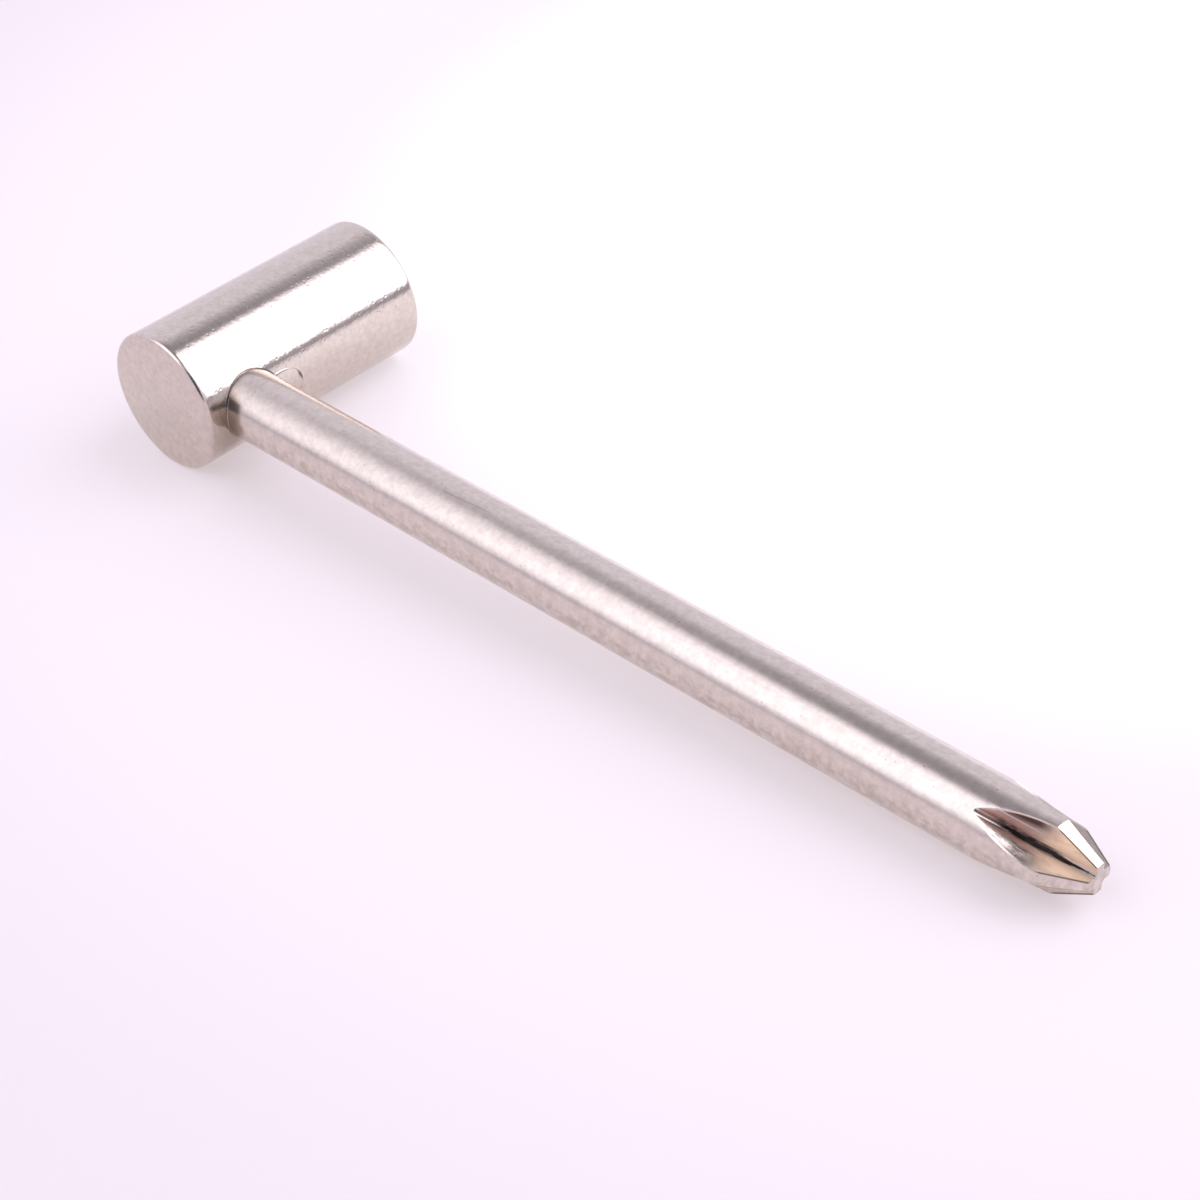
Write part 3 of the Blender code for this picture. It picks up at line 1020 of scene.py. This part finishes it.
# %% Stains and painted shade in the flutes
OTHER_FLUTES_TAN = 0.25
TAN_ENDS = (6.0, 3.5)
RED_STARTS = (3.5, 6.0)
MARKS = ((0.80, 3.8, 5.0), (0.24, 1.8, 1.0))
MARK_WIDTH = 0.07
BURNT_LENGTH = 2.2
BURNT_PER_MM = 3.5
BURNT_RAGGED = 0.55
BURNT_AT_TIP = 0.10
BURNT_WIDER = 0.30
BURNT_WIDENS = (0.5, 4.0)
BURNT_CORE = 0.2
BURNT_ENDS = (8.2, 6.6)


def flute_stains_and_shade(tree):
    """Masks of tanned steel, reddened steel, smoky steel with painted shade, scratches and burnt oil in the
    flutes.
    """
    at = flute_places(tree)
    from_tip, off_root = at["from_tip"], at["off_root"]
    tan = maths(tree, "MULTIPLY_ADD", at["front"], 1 - OTHER_FLUTES_TAN, OTHER_FLUTES_TAN)
    tan = times(tree, tan, fade(tree, from_tip, *TAN_ENDS))
    red = times(tree, at["upper"], fade(tree, from_tip, *RED_STARTS))

    marks = []
    for height, start, full in MARKS:
        mark = spot(tree, apart(tree, off_root, height), MARK_WIDTH)
        marks.append(times(tree, mark, fade(tree, from_tip, start, full), at["upper"]))

    ragged = swing(tree, streaks(tree, BURNT_LENGTH, BURNT_PER_MM), BURNT_RAGGED, off_root)
    widening = fade(tree, from_tip, *BURNT_WIDENS)
    half_width = maths(tree, "MULTIPLY_ADD", widening, BURNT_WIDER, BURNT_AT_TIP)
    burnt = fade(tree, ragged, half_width, times(tree, half_width, BURNT_CORE))
    burnt = times(tree, burnt, fade(tree, from_tip, *BURNT_ENDS))
    masks = (tan, red, smoke_and_shade_mask(tree, at), strongest(tree, *marks), burnt)
    return [times(tree, mask, at["inside"]) for mask in masks]


print(f"burnt line {2 * BURNT_AT_TIP:.2f} mm wide at the tip, tanned steel up to {TAN_ENDS[0]} mm behind it")

# %% [markdown]
# ## Satin nickel
#
# The shaft was drawn through a die before it was plated, so its satin finish has fine streaks along its
# length, with small pits between them. Its plating has tarnished in blotches, more on the side that lies
# downwards, where no hand rubs it clean. One thin scratch runs along its top, a little askew.

# %% Tarnish and scratch
TARNISH_PER_MM = 1.3
TARNISH_DETAIL = 5
TARNISH = (0.36, 0.64)
TARNISH_BELOW = (0.8, -0.2)
TARNISH_ON_TOP = 0.35
SCRATCH_FROM = Vector((29.6, -0.80))
SCRATCH_TO = Vector((35.2, -0.42))
SCRATCH_WIDTH = 0.09
SCRATCH_ABOVE = (0, 1)


def tarnish(tree):
    """Clean patches between blotches of tarnish, stronger on the side that lies downwards."""
    place = on_bench(tree)
    _, _, above = parts_of(tree, place)
    clean = fade(tree, noise(tree, place, TARNISH_PER_MM, TARNISH_DETAIL), *TARNISH)
    strength = between(tree, fade(tree, above, *TARNISH_BELOW), TARNISH_ON_TOP, 1)
    return swing(tree, clean, strength, NOISE_MIDDLE)


def scratch(tree):
    """A thin scratch on the top of the shaft, a little out of line with it."""
    along, across, above = parts_of(tree, on_bench(tree))
    run, drift = SCRATCH_TO - SCRATCH_FROM
    travelled = maths(tree, "SUBTRACT", along, SCRATCH_FROM.x)
    line = maths(tree, "MULTIPLY_ADD", travelled, drift / run, SCRATCH_FROM.y)
    ends = fade(tree, apart(tree, travelled, run / 2), run / 2, run / 3)
    return times(
        tree,
        spot(tree, apart(tree, across, line), SCRATCH_WIDTH),
        ends,
        fade(tree, above, *SCRATCH_ABOVE),
    )


print(f"scratch {(SCRATCH_TO - SCRATCH_FROM).length:.1f} mm long")

# %% [markdown]
# The finish is put together from the bottom up, as the marks came: plating, tarnish, pits, heat tint with
# painted shade at the seam, and then the stains of the flutes with their painted shade. Bare steel scatters
# more light than plating, so the flutes are a little rougher too.

# %% Shaft finish
STREAK_LENGTH = 9.0
STREAKS_PER_MM = 3.5
STREAK_SHARE = 0.4
TARNISH_SHARE = 0.5
TARNISHED_NICKEL = (0.47, 0.405, 0.35, 1)
RUBBED_NICKEL = (0.80, 0.71, 0.65, 1)
TANNED_STEEL = (0.80, 0.665, 0.54, 1)
REDDENED_STEEL = (0.85, 0.53, 0.44, 1)
# Dark tone for smoke, also used as painted shade in the run-out and beside the roots.
SMOKE_AND_SHADE_TONE = (0.085, 0.058, 0.050, 1)
BURNT_OIL = (0.020, 0.016, 0.016, 1)
SHAFT_MOTTLE = {"Patches per mm": 2.4, "Contrast": 1.7}
SHAFT_PITS = {"Cells per mm": 1.5, "Radius": 0.18, "Share": 0.22}
SHAFT_RIPPLE = {"Waves per mm": 0.7, "Wave height": 0.006, "Grains per mm": 6.0, "Grain height": 0.0010}
SHAFT_PIT_SHADE = 0.6
SHAFT_PIT_DEPTH = 0.005
DRAWN_HEIGHT = 0.003
SHAFT_ROUGHNESS = (0.23, 0.17)
TAN_ROUGHER = 0.12
RED_ROUGHER = 0.25


def satin_nickel(name):
    """Satin plating over drawn rod, with the stains and painted shade of the milled flutes and the seam."""
    material, tree, shader = new_metal(name)
    lines = streaks(tree, STREAK_LENGTH, STREAKS_PER_MM)
    patches = placed(tree, mottle_group, SHAFT_MOTTLE)
    pits = placed(tree, pit_group, SHAFT_PITS)
    stain_and_shade = placed(tree, stain_and_shade_group, {"Reach": STAIN_AND_SHADE_REACH, "Line": SEAM_SHADE_LINE})
    ripple = placed(tree, ripple_group, SHAFT_RIPPLE)
    worn = maths(tree, "MULTIPLY_ADD", lines, STREAK_SHARE, times(tree, patches, 1 - STREAK_SHARE))
    clean = maths(tree, "MULTIPLY_ADD", tarnish(tree), TARNISH_SHARE, times(tree, worn, 1 - TARNISH_SHARE))
    tone = blend(tree, clean, TARNISHED_NICKEL, RUBBED_NICKEL)
    marred = strongest(tree, pits, scratch(tree))
    tan, red, smoke_and_shade, mark, burnt = flute_stains_and_shade(tree)
    # Among these, the heat tint carries painted shade at the seam, and the flute smoke painted shade in the
    # grooves.
    for mask, colour in (
        (times(tree, marred, SHAFT_PIT_SHADE), PIT_TONE),
        (stain_and_shade, HEAT_AND_SHADE_TONE),
        (tan, TANNED_STEEL),
        (red, REDDENED_STEEL),
        (smoke_and_shade, SMOKE_AND_SHADE_TONE),
        (mark, CLEAN_NICKEL),
        (burnt, BURNT_OIL),
    ):
        tone = blend(tree, mask, tone, colour)
    feed(tree, tone, shader["Base Color"])
    satin = between(tree, worn, *SHAFT_ROUGHNESS)
    bare = maths(tree, "MULTIPLY_ADD", red, RED_ROUGHER, times(tree, tan, TAN_ROUGHER))
    feed(tree, maths(tree, "ADD", satin, bare), shader["Roughness"])
    drawn = times(tree, lines, DRAWN_HEIGHT)
    dents = times(tree, pits, -SHAFT_PIT_DEPTH)
    relief(tree, maths(tree, "ADD", ripple, maths(tree, "ADD", drawn, dents)), shader["Normal"])
    return material


shaft.data.materials.append(satin_nickel("satin_nickel"))
print("satin nickel on", shaft.name)

# %% [markdown]
# ## Studio light
#
# Polished metal shows its surroundings, so lighting it means building what it mirrors: a pale tent of
# glowing planes. A lamp would leave a hard spot, but a plane whose glow fades into the room at its edges
# draws a soft band. The planes are hidden from the camera, which sees only the wrench and the floor.

# %% Glow with soft edges
ROOM_LEVEL = 0.97
ROOM_TINT = (0.99, 0.965, 1.11)
LIGHT_TINT = (1.0, 0.98, 1.10)
HALF = 0.5


def panel_glow(name, level, soft_edge, beyond):
    """A glow that goes from the level beyond a panel's edge to the panel's own level inside."""
    material = bpy.data.materials.new(name)
    material.use_nodes = True
    tree = material.node_tree
    tree.nodes.clear()
    tint = LIGHT_TINT if level > ROOM_LEVEL else ROOM_TINT
    outside = (*(beyond * share for share in ROOM_TINT), 1)
    own = (*(level * share for share in tint), 1)
    glow = add(tree, "ShaderNodeEmission")
    feed(tree, blend(tree, soft_edge(tree), outside, own), glow.inputs["Color"])
    output = add(tree, "ShaderNodeOutputMaterial")
    feed(tree, glow.outputs["Emission"], output.inputs["Surface"])
    return material


def straight_edges(left, right, bottom, top):
    """Soft sides of a square panel, each as a share of its width or height."""

    def inside(tree):
        place = add(tree, "ShaderNodeTexCoord")
        x, y, _ = parts_of(tree, place.outputs["Object"])
        across = times(tree, fade(tree, x, -HALF, left - HALF), fade(tree, x, HALF, HALF - right))
        upwards = times(tree, fade(tree, y, -HALF, bottom - HALF), fade(tree, y, HALF, HALF - top))
        return times(tree, across, upwards)

    return inside


def round_edge(inner_share):
    """A soft round edge, full inside a share of the radius."""

    def inside(tree):
        place = add(tree, "ShaderNodeTexCoord")
        distance = add(tree, "ShaderNodeVectorMath", operation="LENGTH")
        feed(tree, place.outputs["Object"], distance.inputs[0])
        return fade(tree, distance.outputs["Value"], 1, inner_share)

    return inside


def hang(sheet, name, level, soft_edge, beyond=ROOM_LEVEL):
    """Makes a plane glow and hides it from the camera."""
    sheet.name = name
    sheet.visible_camera = False
    sheet.data.materials.append(panel_glow(name, level, soft_edge, beyond))
    print(f"{name}: level {level}")


print("room level", ROOM_LEVEL)

# %% [markdown]
# A bright panel at the back right draws the white band on the head, and one at the left the band on the
# shaft. Each panel is placed by the direction it is seen in from the wrench, in degrees. Its sides are
# slopes to the left, right, bottom and top of that direction, so it keeps its look at any distance.

# %% Bright panels
OPEN_LEVEL = 0.38
PANEL_DISTANCE = 1.2


def panel(name, seen_from, azimuth, elevation, sides, level, soft_edge, beyond=ROOM_LEVEL):
    """A square panel that fills the given sides when it is seen from a point."""
    azimuth, elevation = math.radians(azimuth), math.radians(elevation)
    left, right, bottom, top = sides
    flat = Vector((math.cos(azimuth), math.sin(azimuth), 0))
    towards = flat * math.cos(elevation) + Vector((0, 0, math.sin(elevation)))
    sideways = Vector((-math.sin(azimuth), math.cos(azimuth), 0))
    upwards = towards.cross(sideways)
    centre = towards + sideways * (left + right) / 2 + upwards * (bottom + top) / 2
    bpy.ops.object.select_all(action="DESELECT")
    bpy.ops.mesh.primitive_plane_add(size=2 * HALF)
    sheet = bpy.context.object
    turn = Matrix((sideways, upwards, towards)).transposed().to_4x4()
    stretch = Matrix.Diagonal((right - left, top - bottom, 1, 1))
    away = Matrix.Translation(seen_from + centre * PANEL_DISTANCE)
    sheet.matrix_world = away @ turn @ Matrix.Scale(PANEL_DISTANCE, 4) @ stretch
    hang(sheet, name, level, soft_edge, beyond)


by_head = (head_low + head_high) / 2
by_shaft = (shaft_low + shaft_high) / 2
panel(
    "key_light",
    by_head,
    azimuth=50,
    elevation=40,
    sides=(-0.50, 0.55, -0.59, 0.73),
    level=2.9,
    soft_edge=straight_edges(left=0.02, right=0.33, bottom=0.02, top=0.10),
    beyond=OPEN_LEVEL,
)
panel(
    "side_light",
    by_shaft,
    azimuth=-115,
    elevation=36,
    sides=(-0.75, 0.40, -0.58, 0.78),
    level=1.85,
    soft_edge=straight_edges(left=0.56, right=0.10, bottom=0.30, top=0.24),
)

# %% [markdown]
# Gaps in the tent are dark: the strips under the two panels, the open front and the open top. They draw
# the dark lines beside the bands, which make the pieces look round.

# %% Dark gaps
panel(
    "gap_below_key",
    by_head,
    azimuth=30,
    elevation=3,
    sides=(-0.45, 0.35, -0.072, 0.096),
    level=0.45,
    soft_edge=straight_edges(left=0.10, right=0.10, bottom=0.12, top=0.15),
)
panel(
    "gap_below_side",
    by_shaft,
    azimuth=-128,
    elevation=4,
    sides=(-0.50, 0.50, -0.07, 0.09),
    level=0.68,
    soft_edge=straight_edges(left=0.10, right=0.10, bottom=0.10, top=0.35),
)
panel(
    "open_front",
    by_head,
    azimuth=-40,
    elevation=22,
    sides=(-0.85, 0.65, -0.36, 0.62),
    level=0.12,
    soft_edge=straight_edges(left=0.25, right=0.25, bottom=0.20, top=0.20),
)

# %% [markdown]
# The tent's top is an open ring high above the wrench, a little behind it. Its edge is very soft, so the
# dark line on the shaft fades away towards the head.

# %% Open top of the tent
TOP_HEIGHT = 2.0
TOP_RADIUS = 2.0
TOP_BEHIND = 0.4
TOP_SIDES = 96
TOP_INNER_SHARE = 0.35

bpy.ops.object.select_all(action="DESELECT")
bpy.ops.mesh.primitive_circle_add(vertices=TOP_SIDES, radius=1, fill_type="NGON")
top = bpy.context.object
top_place = by_head + Vector((0, TOP_BEHIND, TOP_HEIGHT))
top.matrix_world = Matrix.Translation(top_place) @ Matrix.Scale(TOP_RADIUS, 4)
hang(top, "open_top", OPEN_LEVEL, round_edge(TOP_INNER_SHARE))

# %% [markdown]
# ## Floor and room
#
# The floor is a translucent pale sheet that is also lit from below, which is why the wrench casts only a
# faint shadow. It is modelled as a plane that reflects some light and gives some off. The lamp below is
# behind the wrench, so the glow is whitest there, turns pinkish towards the front and fades further out.
# The room itself is one even colour.

# %% Floor and room
FLOOR_SIZE = 4
FLOOR_ROUGHNESS = 0.8
FLOOR_PAPER = (0.495, 0.45, 0.48, 1)
GLOW_NEAR_LAMP = (0.63, 0.64, 0.65, 1)
GLOW_AROUND = (0.43, 0.393, 0.40, 1)
GLOW_FAR = (0.34, 0.30, 0.32, 1)
LAMP_BELOW = Vector((0, 75, 0)) * MM
AROUND = (57 * MM, 86 * MM)
FAR = (98 * MM, 145 * MM)

bpy.ops.object.select_all(action="DESELECT")
bpy.ops.mesh.primitive_plane_add(size=FLOOR_SIZE)
floor = bpy.context.object
floor.name = "floor"
sheet_material = bpy.data.materials.new("lit_floor")
sheet_material.use_nodes = True
tree = sheet_material.node_tree
paper = tree.nodes["Principled BSDF"].inputs
paper["Base Color"].default_value = FLOOR_PAPER
paper["Roughness"].default_value = FLOOR_ROUGHNESS
paper["Emission Strength"].default_value = 1
place = add(tree, "ShaderNodeTexCoord")
distance = add(tree, "ShaderNodeVectorMath", operation="DISTANCE")
feed(tree, place.outputs["Object"], distance.inputs[0])
distance.inputs[1].default_value = LAMP_BELOW
from_lamp = distance.outputs["Value"]
glow = blend(tree, fade(tree, from_lamp, *AROUND), GLOW_NEAR_LAMP, GLOW_AROUND)
glow = blend(tree, fade(tree, from_lamp, *FAR), glow, GLOW_FAR)
feed(tree, glow, paper["Emission Color"])
floor.data.materials.append(sheet_material)

world = bpy.data.worlds.new("soft_room")
bpy.context.scene.world = world
world.use_nodes = True
room_glow = world.node_tree.nodes["Background"].inputs
room_glow["Color"].default_value = (*ROOM_TINT, 1)
room_glow["Strength"].default_value = ROOM_LEVEL
bpy.context.scene.view_settings.view_transform = "Standard"
print(f"floor {FLOOR_SIZE} m wide, lamp {LAMP_BELOW.y / MM:.0f} mm behind the wrench")

# %% [markdown]
# ## Camera
#
# The camera looks down at the wrench from the front right, so that the shaft runs from the upper left to
# the lower right. Its place and lens were worked out from the edges of the shaft and the rims of the
# head, so the outline falls where the photograph has it.

# %% Camera
CAMERA_AT = Vector((118.85, -114.55, 124.90)) * MM
CAMERA_AIM = Vector((-0.75, -3.01, 0.0)) * MM
CAMERA_ROLL = math.radians(-5.43)
CAMERA_LENS = 79.55
NEAREST_SEEN = 10 * MM

camera = bpy.data.objects.new("camera", bpy.data.cameras.new("camera"))
bpy.context.scene.collection.objects.link(camera)
camera.data.lens = CAMERA_LENS
camera.data.clip_start = NEAREST_SEEN
camera.location = CAMERA_AT
level = (CAMERA_AIM - CAMERA_AT).to_track_quat("-Z", "Y").to_matrix()
camera.rotation_euler = (level @ Matrix.Rotation(CAMERA_ROLL, 3, "Z")).to_euler()
bpy.context.scene.camera = camera
print(f"camera {(CAMERA_AT - CAMERA_AIM).length / MM:.0f} mm from the wrench")

# %% [markdown]
# ## Fit the pieces to the frame
#
# Nothing on the wrench moves, so every piece rides on the one body. Each takes the place of its packed node,
# which is hidden.

# %% Ride and replace
for piece, node, slot in (
    (head, "socket_head", "head_plating"),
    (shaft, "drive_shaft", "shaft_plating"),
    (filler, "braze_bead", "bead_plating"),
):
    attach(piece, "root")
    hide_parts(node)
